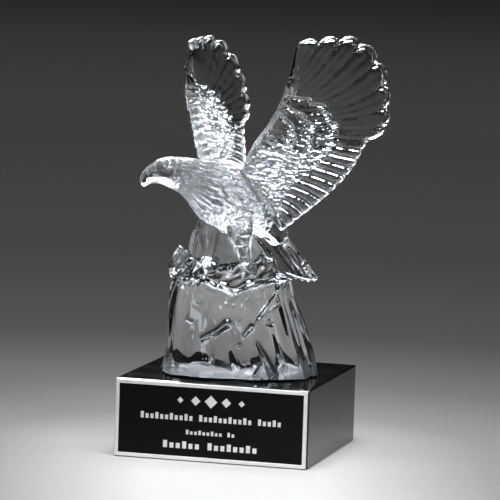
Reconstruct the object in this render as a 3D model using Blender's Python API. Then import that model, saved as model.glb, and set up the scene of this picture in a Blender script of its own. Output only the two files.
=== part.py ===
"""Crystal eagle award.

A clear cast-glass eagle lands, wings raised, on a rock of the same glass. The
casting stands on a square black block, with a thin plate on the block's front.

The block's underside is centred on the origin, +Z is up and -Y is the front.
"""

import math

import bmesh
import bpy
from mathutils import Matrix, Vector

MM = 0.001

# Black block
PLINTH_WIDTH = 112.0 * MM
PLINTH_DEPTH = 112.0 * MM
PLINTH_HEIGHT = 44.45 * MM
PLINTH_EDGE = 0.8 * MM

# Plate on the front of the block
PLATE_THICKNESS = 1.0 * MM
PLATE_SIDE_MARGIN = 0.6 * MM
PLATE_END_MARGIN = 0.5 * MM
PLATE_CORNER = 0.4 * MM
STROKE_DEPTH = 0.25 * MM
STROKE_GAP = 1.1 * MM

# Distance kept between pieces that touch
FIT_GAP = 0.3 * MM

# Glass casting: every form below is drawn in millimetres at DRAWN_HEIGHT, and
# the whole casting is made CASTING_HEIGHT tall.
CASTING_HEIGHT = 193.7 * MM
DRAWN_HEIGHT = 193.7

# Fineness of the drawn forms, and how many triangles the finished skin keeps
BODY_SIDES = 32
BODY_ROWS = 41
FEATHER_PHASES = (0.0, 0.08, 0.16, 0.4, 0.7)
WING_ROWS = 40
CASTING_GRAIN = 0.8
CASTING_TRIANGLES = 9000
SHARP_ANGLE = math.radians(32.0)

# The eagle's own frame: forward, left and up from a point in its chest.
CHEST = Vector((-3.7, -1.0, 103.3))
HEADING = math.radians(-123.4)
FORWARD = Vector((math.cos(HEADING), math.sin(HEADING), 0.0))
LEFT = Vector((-math.sin(HEADING), math.cos(HEADING), 0.0))
UP = Vector((0.0, 0.0, 1.0))

# Body, from the root of the tail to the beak. Each station holds forward,
# left, up, half height, half width and how far its top leans back in degrees.
BODY = (
    (-35.0, 0.0, -31.0, 4.5, 6.0, 55),
    (-28.6, 0.0, -23.5, 8.0, 9.0, 46),
    (-20.0, 0.0, -17.0, 12.5, 13.0, 40),
    (-10.0, 0.0, -12.0, 16.8, 16.0, 36),
    (2.0, 0.0, -5.9, 19.5, 17.5, 34),
    (13.6, 0.0, 0.0, 18.5, 16.5, 30),
    (23.0, -1.5, 3.9, 15.0, 14.0, 24),
    (29.9, -3.5, 6.9, 11.7, 11.0, 21),
    (35.7, -6.0, 9.4, 9.8, 9.3, 16),
    (40.2, -9.5, 10.8, 8.8, 8.4, 8),
    (44.2, -13.5, 11.2, 7.7, 7.2, -4),
    (47.7, -17.3, 9.9, 6.0, 4.8, -14),
    (50.3, -20.0, 7.7, 4.4, 2.9, -22),
    (52.0, -21.4, 5.2, 3.4, 1.7, -28),
    (52.8, -22.0, 3.0, 1.6, 0.8, -40),
)

# Wing, counted in feathers from the leading edge. Its sheet is drawn from the
# side, as back and up: the arm, a middle curve that bends the feathers, and
# the feather ends of the hand and of the forearm.
HAND_FEATHERS = 8
ARM_FEATHERS = 12
FEATHERS = HAND_FEATHERS + ARM_FEATHERS
WING_ARM = ((0, -1.0, 66.4), (3, -2.5, 57.0), (6, -4.0, 48.4), (9, -6.2, 37.8),
            (12, -9.0, 25.3), (14.5, -9.0, 12.0), (17, -4.0, 0.5), (20, 7.0, -13.5))
WING_BEND = ((0, -1.0, 76.0), (3, 11.5, 47.3), (6, 21.5, 36.5), (9, 26.0, 28.2),
             (13, 23.0, 13.5), (17, 18.0, -0.3), (20, 14.4, -12.0))
HAND_ENDS = ((0, 0.0, 86.5), (2, 23.5, 88.8), (3, 36.0, 87.0), (4, 49.0, 77.0),
             (5, 56.3, 63.5), (6, 59.2, 50.2), (7, 59.8, 39.3), (8, 55.0, 32.5))
ARM_ENDS = ((8, 50.6, 31.0), (11, 46.1, 14.8), (14, 38.5, 0.6), (17, 29.6, -12.1), (20, 22.7, -22.6))

# How far out the sheet lies: it rises from the line between shoulder and
# rump, flattens towards the feather ends and bulges along the arm.
SHOULDER = Vector((-12.0, 28.0))
SPREAD_DIRECTION = Vector((0.817, 0.577))
ROOT_OUT = 14.0
SPREAD_SLOPE = 0.95
SPREAD_CUP = 0.0045
ARM_BULGE = 7.0
ARM_WRAP = 6.0

# Feather ends: where along a feather they start to round, how wide the change
# from hand to forearm is, and the mean of a half round
ROUNDING_START = 0.6
HAND_TO_ARM = 0.15
LOBE_MEAN = 0.7

# Share of their full length at which the hand and forearm feathers are held
LEFT_REACH = (1.0, 1.0)
RIGHT_REACH = (0.74, 0.93)

# Half thickness of the wing and the height of its carving
WRIST_HALF = 2.9
SHOULDER_HALF = 5.6
FEATHER_HALF = 1.5
HAND_SCALLOP = 3.4
ARM_SCALLOP = 1.8
VANE_LIFT = 0.8
COVERT_LIFT = 1.1
COVERT_ROWS = (0.3, 0.62, 1.0)
COVERT_SCALLOP = 0.2
COVERT_STEP = 0.02
COVERT_SHARES = (0.1, 0.46, 0.18)
VANE_CREST = 0.15
ARM_TAPER = 1.6
ARM_ROUNDING = 0.10
LEADING_FEATHER = 0.6
EDGE_SHARE = 0.25

# Eyes, placed on the skin of the head by share of the body and angle
EYE_SHARE = 0.665
EYE_ANGLE = math.radians(39.0)
EYE_HALF = 1.5

# Tail: forward, left, up of its root and end, then its half sizes
TAIL_ROOT = Vector((-24.0, 0.0, -21.0))
TAIL_END = Vector((-53.0, 0.0, -52.5))
TAIL_FEATHERS = 5
TAIL_ROOT_HALF_WIDTH = 6.5
TAIL_END_HALF_WIDTH = 11.0
TAIL_ROOT_HALF = 4.5
TAIL_END_HALF = 1.7
TAIL_TWIST = math.radians(12.0)
TAIL_GROOVE = 0.6
TAIL_LOBE = 1.6
TAIL_CORNER = 2.5
TAIL_SKEW = 5.0
TAIL_EDGE = 0.55

# Rock, turned on the block. Each level holds its height, then how far it
# reaches to the left, right, front and back.
ROCK_TURN = math.radians(14.6)
ROCK_LEVELS = (
    (0.0, 43.0, 44.5, 38.5, 36.0),
    (9.0, 41.0, 42.0, 38.3, 36.0),
    (20.0, 39.8, 38.0, 37.4, 35.3),
    (33.0, 39.0, 33.2, 35.0, 33.0),
    (43.0, 38.2, 29.0, 32.0, 30.0),
    (51.0, 36.2, 27.0, 30.0, 27.5),
    (54.5, 34.0, 25.5, 27.0, 25.5),
    (56.0, 30.5, 20.5, 15.0, 19.5),
    (57.5, 29.3, 18.5, 11.5, 17.5),
    (63.0, 28.8, 17.5, 10.0, 16.5),
    (70.0, 28.0, 13.5, 8.0, 15.0),
    (78.0, 26.0, 6.0, 6.0, 13.0),
    (86.0, 23.0, -4.0, 3.0, 9.0),
)
ROCK_SIDES = 96
ROCK_ROWS = 60
ROCK_CORNER = 3.0
FLUTES = ((5, 0.9, 0.9, 0.004), (11, 1.1, 2.2, -0.002), (18, 0.7, 0.2, 0.002))
FRONT_FLUTES = 0.25
LEDGE_DIP = 7.0
LEDGE_HEIGHT = 51.0
LEDGE_DIP_RISE = 9.0
LEDGE_DIP_ANGLE = 0.42

# Lumps on the ledge: right, back and up of the centre, then the half sizes
LUMP_SWELL = 0.10
LUMPS = (
    ((-35.0, -2.0, 60.0), (6.0, 8.5, 10.5)),
    ((-28.0, -7.0, 58.5), (6.5, 6.5, 8.0)),
    ((12.5, -11.0, 58.0), (8.0, 7.0, 10.5)),
    ((-4.0, -15.0, 55.0), (13.5, 8.5, 7.0)),
)

# Feet: right, back and up of the ankle, and the hip in the eagle's frame
ANKLES = ((-18.5, -12.5, 65.0), (2.5, -16.5, 63.5))
HIPS = (Vector((13.0, -8.0, -14.0)), Vector((6.0, 9.0, -16.0)))
THIGH_HALF = 8.0
ANKLE_HALF = 3.4
TOE_LENGTH = 11.0
TOE_DROP = 7.5
TOE_HALF = 2.3
CLAW_TAPER = 0.75
TOE_TURNS = (-48.0, -4.0, 40.0, 175.0)

# Cuts and a raised wedge on the rock's front, as right and up positions
SLASH_ENDS = ((-20.7, 22.6), (-7.0, 31.0))
SLASH_HALF = 1.9
SLASH_DEPTH = 1.4
NOTCH_OUTLINE = ((10.0, 21.4), (21.5, 4.0), (12.0, 3.0))
NOTCH_LIFT = 4.0
NOTCH_DEPTH = 5.0
WEDGE_OUTLINE = ((7.6, 32.6), (20.6, 50.0), (23.4, 42.0))
WEDGE_LIFT = 3.6
WEDGE_DEPTH = 6.0


def clear_scene():
    for item in list(bpy.data.objects):
        bpy.data.objects.remove(item, do_unlink=True)


def make_material(name, colour, roughness, metallic=0.0, transmission=0.0, ior=1.5):
    material = bpy.data.materials.new(name)
    material.use_nodes = True
    shader = material.node_tree.nodes["Principled BSDF"]
    shader.inputs["Base Color"].default_value = (*colour, 1.0)
    shader.inputs["Roughness"].default_value = roughness
    shader.inputs["Metallic"].default_value = metallic
    shader.inputs["Transmission Weight"].default_value = transmission
    shader.inputs["IOR"].default_value = ior
    return material


def make_object(name, bm):
    bmesh.ops.recalc_face_normals(bm, faces=bm.faces)
    mesh = bpy.data.meshes.new(name)
    bm.to_mesh(mesh)
    bm.free()
    item = bpy.data.objects.new(name, mesh)
    bpy.context.scene.collection.objects.link(item)
    return item


def combine(base, others, operation):
    """Join or cut base with the others, which are used up."""
    for other in others:
        modifier = base.modifiers.new(operation, "BOOLEAN")
        modifier.operation = operation
        modifier.solver = "EXACT"
        modifier.object = other
    result = base.evaluated_get(bpy.context.evaluated_depsgraph_get())
    mesh = bpy.data.meshes.new_from_object(result)
    base.modifiers.clear()
    base.data = mesh
    for other in others:
        bpy.data.objects.remove(other, do_unlink=True)


def fuse(name, items, grain, triangles):
    """Melt overlapping closed shapes into one skin, then thin its triangles."""
    bm = bmesh.new()
    for item in items:
        bm.from_mesh(item.data)
        bpy.data.objects.remove(item, do_unlink=True)
    fused = make_object(name, bm)
    remesh = fused.modifiers.new("melt", "REMESH")
    remesh.mode = "VOXEL"
    remesh.voxel_size = grain
    result = fused.evaluated_get(bpy.context.evaluated_depsgraph_get())
    fused.modifiers.clear()
    fused.data = bpy.data.meshes.new_from_object(result)
    thin = fused.modifiers.new("thin", "DECIMATE")
    thin.ratio = triangles / (2 * len(fused.data.polygons))
    result = fused.evaluated_get(bpy.context.evaluated_depsgraph_get())
    mesh = bpy.data.meshes.new_from_object(result)
    fused.modifiers.clear()
    fused.data = mesh
    return fused


def curve_at(stations, place):
    """Values of a smooth curve through stations, each a place and its values."""
    index = 0
    while index < len(stations) - 2 and place > stations[index + 1][0]:
        index += 1
    before = stations[max(index - 1, 0)]
    start = stations[index]
    end = stations[index + 1]
    after = stations[min(index + 2, len(stations) - 1)]
    step = end[0] - start[0]
    t = (place - start[0]) / step
    values = []
    for column in range(1, len(start)):
        slope_start = (end[column] - before[column]) / (end[0] - before[0])
        slope_end = (after[column] - start[column]) / (after[0] - start[0])
        values.append(
            start[column] * (1 + 2 * t) * (1 - t) ** 2
            + end[column] * t * t * (3 - 2 * t)
            + step * (slope_start * t * (1 - t) ** 2 - slope_end * t * t * (1 - t)))
    return values


def smooth_step(low, high, value):
    t = min(max((value - low) / (high - low), 0.0), 1.0)
    return t * t * (3 - 2 * t)


def eagle_point(forward, left, up):
    return CHEST + FORWARD * forward + LEFT * left + UP * up


def rock_point(right, back, up):
    return Matrix.Rotation(ROCK_TURN, 3, "Z") @ Vector((right, back, up))


def tube(name, sides, cuts, place):
    """A closed tube whose points are place(angle, share of its length)."""
    bm = bmesh.new()
    bmesh.ops.create_cone(bm, cap_ends=True, segments=sides, radius1=1, radius2=1, depth=1)
    if cuts:
        uprights = [edge for edge in bm.edges if abs(edge.verts[0].co.z - edge.verts[1].co.z) > 0.5]
        bmesh.ops.subdivide_edges(bm, edges=uprights, cuts=cuts)
    for vert in bm.verts:
        vert.co = place(math.atan2(vert.co.y, vert.co.x), vert.co.z + 0.5)
    return make_object(name, bm)


def slab(name, columns, rows, place):
    """A closed sheet whose points are place(column, row, side)."""
    bm = bmesh.new()
    bmesh.ops.create_grid(bm, x_segments=columns, y_segments=rows, size=0.5)
    lifted = bmesh.ops.extrude_face_region(bm, geom=list(bm.faces), use_keep_orig=True)
    lifted_verts = [item for item in lifted["geom"] if isinstance(item, bmesh.types.BMVert)]
    bmesh.ops.translate(bm, verts=lifted_verts, vec=(0, 0, 1))
    for vert in bm.verts:
        column = round((vert.co.x + 0.5) * columns)
        row = round((vert.co.y + 0.5) * rows)
        vert.co = place(column, row, 1 if vert.co.z > 0.5 else -1)
    return make_object(name, bm)


def body_point(angle, share):
    """Skin of the body, share 0 at the tail and 1 at the beak."""
    stations = [(index, *station) for index, station in enumerate(BODY)]
    place = share * (len(BODY) - 1)
    forward, left, up, half_height, half_width, lean = curve_at(stations, place)
    ahead = curve_at(stations, min(place + 0.05, len(BODY) - 1))
    behind = curve_at(stations, max(place - 0.05, 0))
    course = Vector((ahead[0] - behind[0], ahead[1] - behind[1], 0.0)).normalized()
    side = Vector((-course.y, course.x, 0.0))
    top = -course * math.sin(math.radians(lean)) + UP * math.cos(math.radians(lean))
    local = side * half_width * math.cos(angle) + top * half_height * math.sin(angle)
    return eagle_point(forward + local.x, left + local.y, up + local.z)


def lobe(phase):
    """Outline of one feather end, a half round."""
    return 2.0 * math.sqrt(max(phase * (1.0 - phase), 0.0))


def feather_phase(place):
    return place - math.floor(min(place, FEATHERS - 1e-6)) if place < FEATHERS else 1.0


def wing_sheet(place, share, reach):
    """Middle of the wing at a feather count and a share of the feather's length."""
    arm = Vector(curve_at(WING_ARM, place))
    bend = Vector(curve_at(WING_BEND, place))
    hand_end = Vector(curve_at(HAND_ENDS, min(place, HAND_FEATHERS)))
    arm_end = Vector(curve_at(ARM_ENDS, max(place, HAND_FEATHERS)))
    tip = hand_end.lerp(arm_end, smooth_step(HAND_FEATHERS - HAND_TO_ARM, HAND_FEATHERS + HAND_TO_ARM, place))
    hand_reach, arm_reach = reach
    held = hand_reach + (arm_reach - hand_reach) * smooth_step(1, 6, place)
    bend = arm.lerp(bend, 0.5 + 0.5 * held)
    tip = arm.lerp(tip, held)
    scallop = HAND_SCALLOP if place < HAND_FEATHERS else ARM_SCALLOP
    overshoot = scallop * (lobe(feather_phase(place)) - LOBE_MEAN) / (tip - arm).length
    share *= 1 + overshoot * smooth_step(ROUNDING_START, 1.0, share)
    flat = arm * (1 - share) ** 2 + bend * 2 * share * (1 - share) + tip * share ** 2
    away = max((flat - SHOULDER).dot(SPREAD_DIRECTION), -ARM_WRAP)
    out = ROOT_OUT + SPREAD_SLOPE * away - SPREAD_CUP * away ** 2
    out += ARM_BULGE * max(1 - share, 0.0) ** 2
    return Vector((-flat.x, out, flat.y))


def covert_edge(place):
    """Share of the feather's length that the small feathers cover."""
    wrist, hand, arm = COVERT_SHARES
    cover = wrist + hand * smooth_step(1.4, 3.6, place) + arm * smooth_step(4.0, 13.0, place)
    return cover * (1 - COVERT_SCALLOP * (1 - lobe(feather_phase(place))))


def wing_half(place, share):
    """Half of the wing's thickness, with its carving."""
    arm_half = WRIST_HALF + (SHOULDER_HALF - WRIST_HALF) * smooth_step(0, 13, place)
    half = FEATHER_HALF + (arm_half - FEATHER_HALF) * max(1 - ARM_TAPER * share, 0.0) ** 1.5
    phase = feather_phase(place)
    ramp = phase / VANE_CREST if phase < VANE_CREST else (1 - phase) / (1 - VANE_CREST)
    cover = covert_edge(place)
    half += VANE_LIFT * (ramp - 0.4) * smooth_step(cover * 0.9, cover * 1.1, share)
    for index, row in enumerate(COVERT_ROWS):
        below = COVERT_ROWS[index - 1] * cover if index else 0.0
        rise = smooth_step(below, row * cover, share)
        half += COVERT_LIFT * rise * (1 - smooth_step(row * cover, row * cover + COVERT_STEP, share))
    edge = min(share / ARM_ROUNDING, place / LEADING_FEATHER, 1.0)
    return half * (EDGE_SHARE + (1 - EDGE_SHARE) * math.sqrt(1 - (1 - edge) ** 2))


def wing_point(place, share, side, reach, hand):
    """Skin of a wing; hand is 1 for the left wing and -1 for the right."""
    step = 0.02
    low = min(max(place - step, 0), FEATHERS - 2 * step)
    along = wing_sheet(low + 2 * step, share, reach) - wing_sheet(low, share, reach)
    near = max(share - step, 0.0)
    outward = wing_sheet(place, near + 2 * step, reach) - wing_sheet(place, near, reach)
    normal = along.cross(outward).normalized()
    point = wing_sheet(place, share, reach) + normal * side * wing_half(place, share)
    return eagle_point(point.x, point.y * hand, point.z)


def make_wing(name, reach, hand):
    places = [feather + phase for feather in range(FEATHERS) for phase in FEATHER_PHASES]
    places.append(FEATHERS)
    return slab(name, len(places) - 1, WING_ROWS,
                lambda column, row, side: wing_point(
                    places[column], row / WING_ROWS, side, reach, hand))


def tail_point(across, share, side):
    """Skin of the tail; across runs from -1 to 1."""
    middle = TAIL_ROOT.lerp(TAIL_END, share)
    half_width = TAIL_ROOT_HALF_WIDTH + (TAIL_END_HALF_WIDTH - TAIL_ROOT_HALF_WIDTH) * share
    half = TAIL_ROOT_HALF + (TAIL_END_HALF - TAIL_ROOT_HALF) * share
    phase = (across + 1) / 2 * TAIL_FEATHERS
    crest = abs(math.sin(math.pi * phase))
    half *= 1 - TAIL_EDGE * abs(across) ** 3
    half += TAIL_GROOVE * (crest - 0.5) * share
    course = (TAIL_END - TAIL_ROOT).normalized()
    sideways = Vector((0, 1, 0)) * math.cos(TAIL_TWIST) + UP * math.sin(TAIL_TWIST)
    normal = sideways.cross(course).normalized()
    reach = TAIL_LOBE * crest - TAIL_CORNER * across ** 2 + TAIL_SKEW * across
    middle = middle + course * reach * smooth_step(0.6, 1.0, share)
    point = middle + sideways * across * half_width + normal * side * half
    return eagle_point(point.x, point.y, point.z)


def make_tail(name):
    columns = TAIL_FEATHERS * 6
    rows = 12
    return slab(name, columns, rows,
                lambda column, row, side: tail_point(2 * column / columns - 1, row / rows, side))


def rock_skin(angle, height):
    """Skin of the rock at an angle, counted from its right side, and a height."""
    left, right, front, back = curve_at(ROCK_LEVELS, height)
    cosine = math.cos(angle)
    sine = math.sin(angle)
    centre_right = (right - left) / 2
    centre_back = (back - front) / 2
    half_width = (right + left) / 2
    half_depth = (back + front) / 2
    rounding = (abs(cosine) ** ROCK_CORNER + abs(sine) ** ROCK_CORNER) ** (-1 / ROCK_CORNER)
    flute = sum(depth * math.cos(count * angle + start + lean * count * height)
                for count, depth, start, lean in FLUTES)
    flute *= FRONT_FLUTES + (1 - FRONT_FLUTES) * (cosine ** 2 if sine < 0 else 1)
    rounding *= 1 + flute / half_width
    facing = math.exp(-((angle + math.pi / 2) / LEDGE_DIP_ANGLE) ** 2)
    dip = LEDGE_DIP * facing * math.exp(-((height - LEDGE_HEIGHT) / LEDGE_DIP_RISE) ** 2)
    return rock_point(centre_right + half_width * rounding * cosine,
                      centre_back + half_depth * rounding * sine, height - dip)


def rock_front(right, height, lift):
    """A point on the rock's front, lift in front of its skin."""
    left_reach, right_reach, front, back = curve_at(ROCK_LEVELS, height)
    share = (right - (right_reach - left_reach) / 2) / ((right_reach + left_reach) / 2)
    depth = (1 - min(abs(share), 1.0) ** ROCK_CORNER) ** (1 / ROCK_CORNER)
    return rock_point(right, (back - front) / 2 - (back + front) / 2 * depth - lift, height)


def make_rock(name):
    top = ROCK_LEVELS[-1][0]
    return tube(name, ROCK_SIDES, ROCK_ROWS, lambda angle, share: rock_skin(angle, share * top))


def make_eye(name, angle):
    bm = bmesh.new()
    bmesh.ops.create_icosphere(bm, subdivisions=2, radius=EYE_HALF)
    bmesh.ops.translate(bm, verts=bm.verts, vec=body_point(angle, EYE_SHARE))
    return make_object(name, bm)


def make_lump(name, centre, halves):
    bm = bmesh.new()
    bmesh.ops.create_icosphere(bm, subdivisions=3, radius=1)
    for vert in bm.verts:
        swell = 1 + LUMP_SWELL * math.sin(5 * vert.co.x + 3 * vert.co.z) * math.cos(4 * vert.co.y)
        local = [centre[axis] + halves[axis] * vert.co[axis] * swell for axis in range(3)]
        vert.co = rock_point(*local)
    return make_object(name, bm)


def make_leg(name, hip, ankle):
    start = eagle_point(*hip)
    end = rock_point(*ankle)
    course = (end - start).normalized()
    side = course.cross(Vector((0, 1, 0))).normalized()
    other = course.cross(side)

    def place(angle, share):
        half = THIGH_HALF + (ANKLE_HALF - THIGH_HALF) * smooth_step(0, 1, share)
        return start.lerp(end, share) + (side * math.cos(angle) + other * math.sin(angle)) * half

    return tube(name, 10, 3, place)


def make_toe(name, ankle, turn):
    """A toe that arches forward and down from the ankle and ends in a claw."""
    start = rock_point(*ankle)
    heading = HEADING + math.radians(turn)
    course = Vector((math.cos(heading), math.sin(heading), 0))
    side = UP.cross(course)

    def place(angle, share):
        half = TOE_HALF * (1 - CLAW_TAPER * smooth_step(0.55, 1.0, share))
        drop = TOE_DROP * share ** 2
        centre = start + course * TOE_LENGTH * share - UP * drop
        return centre + (side * math.cos(angle) + UP * math.sin(angle)) * half

    return tube(name, 6, 3, place)


def prism(name, outline, lift, depth):
    """A solid over an outline on the rock's front, from lift out to depth in."""
    bm = bmesh.new()
    face = bm.faces.new([bm.verts.new(rock_front(*corner, lift)) for corner in outline])
    inward = rock_point(0, lift + depth, 0)
    moved = bmesh.ops.extrude_face_region(bm, geom=[face], use_keep_orig=True)
    verts = [item for item in moved["geom"] if isinstance(item, bmesh.types.BMVert)]
    bmesh.ops.translate(bm, verts=verts, vec=inward)
    return make_object(name, bm)


def make_slash(name):
    start = rock_front(*SLASH_ENDS[0], 0.0)
    end = rock_front(*SLASH_ENDS[1], 0.0)
    course = (end - start).normalized()
    inward = rock_point(0, 1, 0)
    side = course.cross(inward).normalized()

    def place(angle, share):
        half = SLASH_HALF * (0.35 + 0.65 * math.sin(math.pi * min(0.15 + 0.7 * share, 0.8)))
        across = side * math.cos(angle) + inward * SLASH_DEPTH * math.sin(angle)
        return start.lerp(end, share) + across * half

    return tube(name, 8, 2, place)


def make_casting():
    """Eagle and rock, one piece of clear glass."""
    rock = make_rock("rock")
    notch = prism("notch", NOTCH_OUTLINE, NOTCH_LIFT, NOTCH_DEPTH)
    combine(rock, [make_slash("slash"), notch], "DIFFERENCE")
    shapes = [
        rock,
        prism("wedge", WEDGE_OUTLINE, WEDGE_LIFT, WEDGE_DEPTH),
        tube("body", BODY_SIDES, BODY_ROWS, body_point),
        make_wing("left_wing", LEFT_REACH, 1),
        make_wing("right_wing", RIGHT_REACH, -1),
        make_tail("tail"),
        make_eye("left_eye", EYE_ANGLE),
        make_eye("right_eye", math.pi - EYE_ANGLE),
    ]
    for index, (centre, halves) in enumerate(LUMPS):
        shapes.append(make_lump(f"lump_{index}", centre, halves))
    for hip, ankle in zip(HIPS, ANKLES):
        shapes.append(make_leg("leg", hip, ankle))
        for turn in TOE_TURNS:
            shapes.append(make_toe("toe", ankle, turn))
    casting = fuse("crystal_eagle", shapes, CASTING_GRAIN, CASTING_TRIANGLES)

    share = CASTING_HEIGHT / DRAWN_HEIGHT
    seat = Matrix.Translation((0, 0, PLINTH_HEIGHT + FIT_GAP))
    casting.data.transform(seat @ Matrix.Scale(share, 4))
    casting.data.materials.append(make_material(
        "clear_cast_glass", (0.97, 0.98, 0.98), 0.02, transmission=1.0, ior=1.52))
    casting.data.shade_smooth()
    casting.data.set_sharp_from_angle(angle=SHARP_ANGLE)
    return casting


def make_block(name, size, centre, edge):
    """A box with rounded edges."""
    bm = bmesh.new()
    bmesh.ops.create_cube(bm, size=1)
    bmesh.ops.scale(bm, vec=size, verts=bm.verts)
    bmesh.ops.bevel(bm, geom=list(bm.edges), offset=edge, segments=2, profile=0.5, affect="EDGES",
                    material=-1)
    bmesh.ops.translate(bm, verts=bm.verts, vec=centre)
    return make_object(name, bm)


def make_plinth():
    plinth = make_block("plinth", (PLINTH_WIDTH, PLINTH_DEPTH, PLINTH_HEIGHT),
                        (0, 0, PLINTH_HEIGHT / 2), PLINTH_EDGE)
    plinth.data.materials.append(make_material("black_lacquer", (0.008, 0.008, 0.009), 0.06))
    return plinth


def stroke_rows():
    """Rows of strokes on the plate: height, half width, stroke height and strokes."""
    return (
        (0.56, 0.37, 0.085, 9),
        (0.37, 0.13, 0.06, 4),
        (0.20, 0.25, 0.095, 6),
    )


def make_nameplate():
    width = PLINTH_WIDTH - 2 * PLATE_SIDE_MARGIN
    height = PLINTH_HEIGHT - 2 * PLATE_END_MARGIN
    front = -PLINTH_DEPTH / 2 - FIT_GAP - PLATE_THICKNESS
    plate = make_block("nameplate", (width, PLATE_THICKNESS, height),
                       (0, front + PLATE_THICKNESS / 2, PLINTH_HEIGHT / 2), PLATE_CORNER)
    cutters = []
    for level, half, tall, count in stroke_rows():
        pitch = 2 * half * width / count
        for index in range(count):
            centre = ((index + 0.5 - count / 2) * pitch, front, PLATE_END_MARGIN + level * height)
            size = (pitch - STROKE_GAP, 2 * STROKE_DEPTH, tall * height)
            bm = bmesh.new()
            bmesh.ops.create_cube(bm, size=1)
            bmesh.ops.scale(bm, vec=size, verts=bm.verts)
            bmesh.ops.translate(bm, verts=bm.verts, vec=centre)
            cutters.append(make_object("stroke", bm))
    combine(plate, cutters, "DIFFERENCE")
    plate.data.materials.append(make_material("black_metal_plate", (0.02, 0.02, 0.02), 0.35, metallic=0.3))
    return plate


def main():
    clear_scene()
    make_casting()
    make_plinth()
    make_nameplate()


main()
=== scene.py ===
"""Looks of the crystal eagle award: the carved glass casting, its black block and plate."""

import math

import bmesh
import bpy
import numpy as np
from mathutils import Matrix, Vector


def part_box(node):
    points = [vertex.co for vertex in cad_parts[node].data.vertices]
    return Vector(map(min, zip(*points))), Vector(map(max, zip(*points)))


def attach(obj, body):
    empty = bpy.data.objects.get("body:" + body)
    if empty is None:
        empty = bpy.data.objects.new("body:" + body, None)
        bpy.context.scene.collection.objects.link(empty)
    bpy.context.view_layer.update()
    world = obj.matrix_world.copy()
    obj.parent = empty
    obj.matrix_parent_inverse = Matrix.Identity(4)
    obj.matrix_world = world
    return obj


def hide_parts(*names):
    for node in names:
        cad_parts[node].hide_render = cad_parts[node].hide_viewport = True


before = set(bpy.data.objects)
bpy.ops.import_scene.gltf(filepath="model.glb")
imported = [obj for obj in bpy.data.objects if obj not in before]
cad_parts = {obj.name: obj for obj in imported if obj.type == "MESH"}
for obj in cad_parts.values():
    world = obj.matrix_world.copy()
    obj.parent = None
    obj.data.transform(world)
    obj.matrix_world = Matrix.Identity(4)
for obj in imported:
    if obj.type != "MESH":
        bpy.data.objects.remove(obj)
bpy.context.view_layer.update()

MM = 0.001

# The plate and the foot of the glass lie where the frame gives them.
plate_low, plate_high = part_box("nameplate")
glass_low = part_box("crystal_eagle")[0]

# Fineness of the drawn forms, and what the finished skin of the glass keeps
BODY_SIDES = 240
BODY_CUTS = 300
WING_COLUMNS = 320
WING_ROWS = 180
TAIL_COLUMNS = 120
TAIL_ROWS = 60
LEG_SIDES = 48
LEG_CUTS = 30
TOE_SIDES = 24
TOE_CUTS = 16
GLASS_GRAIN = 0.45
GLASS_TRIANGLES = 196000
GLASS_SMOOTHING = 1
GLASS_SMOOTHING_SHARE = 0.5

# Irregular carved hollows, in cells: how far a hollow's middle keeps from the
# cell's edge, how far it strays, and where its slope starts and ends
HOLLOW_MARGIN = 0.15
HOLLOW_STRAY = 0.7
HOLLOW_SLOPE = (0.12, 0.72)

# Turns and height of a sine whose last digits look random
SCATTER_TURNS = (127.1, 311.7, 74.7)
SCATTER_SCALE = 43758.5453

# The eagle's own frame: forward, left and up from a point in its chest.
CHEST = np.array((-3.7, -1.0, 103.3))
HEADING = math.radians(-123.4)
FORWARD = np.array((math.cos(HEADING), math.sin(HEADING), 0.0))
LEFT = np.array((-math.sin(HEADING), math.cos(HEADING), 0.0))
UP = np.array((0.0, 0.0, 1.0))

# Body, from the root of the tail to the beak. Each station holds forward,
# left, up, half height, half width and how far its top leans back in degrees.
BODY = (
    (-35.0, 0.0, -31.0, 4.5, 6.0, 55),
    (-28.6, 0.0, -23.5, 8.0, 9.0, 46),
    (-20.0, 0.0, -17.0, 12.5, 13.0, 40),
    (-10.0, 0.0, -12.0, 16.8, 16.0, 36),
    (2.0, 0.0, -5.9, 19.5, 17.5, 34),
    (13.6, 0.0, 0.0, 18.5, 16.5, 30),
    (23.0, -1.5, 3.9, 15.0, 14.0, 24),
    (29.9, -3.5, 6.9, 11.7, 11.0, 21),
    (35.7, -6.0, 9.4, 9.8, 9.3, 16),
    (40.2, -9.5, 10.8, 8.8, 8.4, 8),
    (44.2, -13.5, 11.2, 7.7, 7.2, -4),
    (47.7, -17.3, 9.9, 6.0, 4.8, -14),
    (50.3, -20.0, 7.7, 4.4, 2.9, -22),
    (52.0, -21.4, 5.2, 3.4, 1.7, -28),
    (52.8, -22.0, 3.0, 1.6, 0.8, -40),
)

# Stations over which the body's course is taken
BODY_STEP = 0.05

# Relief of the body's small feathers and of the head's fine stipple: heights,
# lengths and counts, then the shares of the body's length where each sets in
# or ends, and the most and least half girth that a height is set against
BODY_SCALE_LIFT = 1.1
BODY_SCALE = 3.1
NECK_SCALE = 2.2
HEAD_SCALE = 1.7
SCALES_AROUND = 34
HEAD_SCALES_AROUND = 30
STIPPLE_LIFT = 0.16
BODY_SCALES_BEGIN = (0.08, 0.16)
BODY_SCALES_END = (0.6, 0.72)
NECK_PLACE = (0.4, 0.6)
HEAD_BEGIN = (0.6, 0.7)
BEAK_BEGIN = (0.93, 0.98)
GIRTH_MOST = 18.0
GIRTH_LEAST = 4.0

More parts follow.
